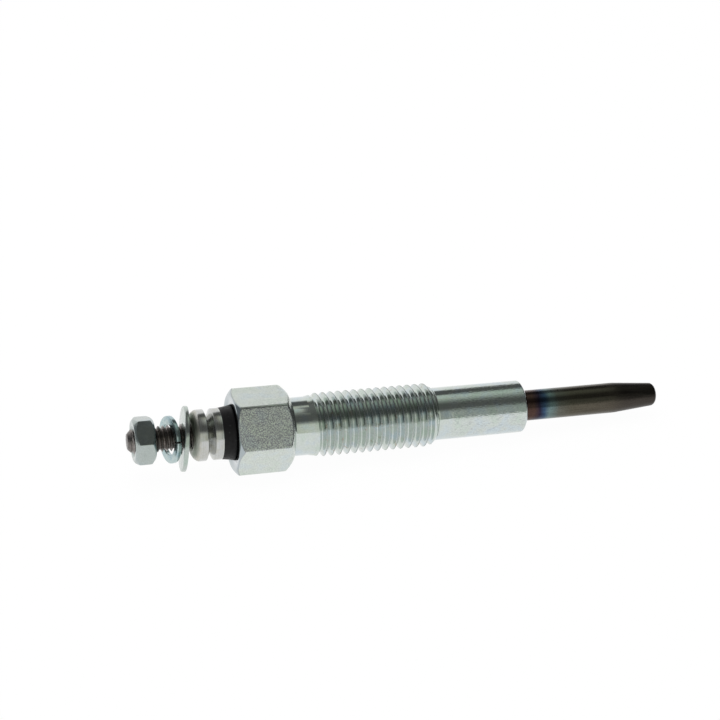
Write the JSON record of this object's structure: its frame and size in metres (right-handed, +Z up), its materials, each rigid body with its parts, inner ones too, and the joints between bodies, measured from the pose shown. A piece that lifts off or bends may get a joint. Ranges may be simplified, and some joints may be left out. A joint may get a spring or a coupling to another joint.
{
  "type": "diesel glow plug",
  "caption": "Sheathed diesel glow plug with a hex housing, mounting thread, sealing seat, tapered heater tip and a threaded terminal with nut and washers; lies on its side.",
  "frame": {"origin": "centre of the bounding box at ground level, with the plug lying on a flat of its hex and on the end of its thread", "axes": "+X runs along the plug towards the heater tip, whose end dips a little; +Z is up; +Y is away from the side that the picture shows"},
  "size_m": [0.0864, 0.0136, 0.0121],
  "materials": {
    "zinc_steel": "clear zinc plating, satin",
    "blue_zinc_steel": "blue zinc plating, satin",
    "turned_nut": "turned, bright",
    "dark_stud": "dark, oiled thread",
    "bush_plastic": "satin black phenolic",
    "seal_rubber": "matt",
    "sheath_alloy": "heat-tinted nickel alloy, satin",
    "coil_wire": "drawn wire",
    "powder": "compacted, matt"
  },
  "bodies": {
    "root": {"terminal_nut": "zinc_steel", "spring_washer": "blue_zinc_steel", "flat_washer": "zinc_steel", "ring_nut": "turned_nut", "insulating_bush": "bush_plastic", "sealing_ring": "seal_rubber", "housing": "zinc_steel", "terminal_rod": "dark_stud", "sheath_seal": "seal_rubber", "heater_sheath": "sheath_alloy", "control_coil": "coil_wire", "heating_coil": "coil_wire", "insulating_powder": "powder"}
  },
  "joints": []
}
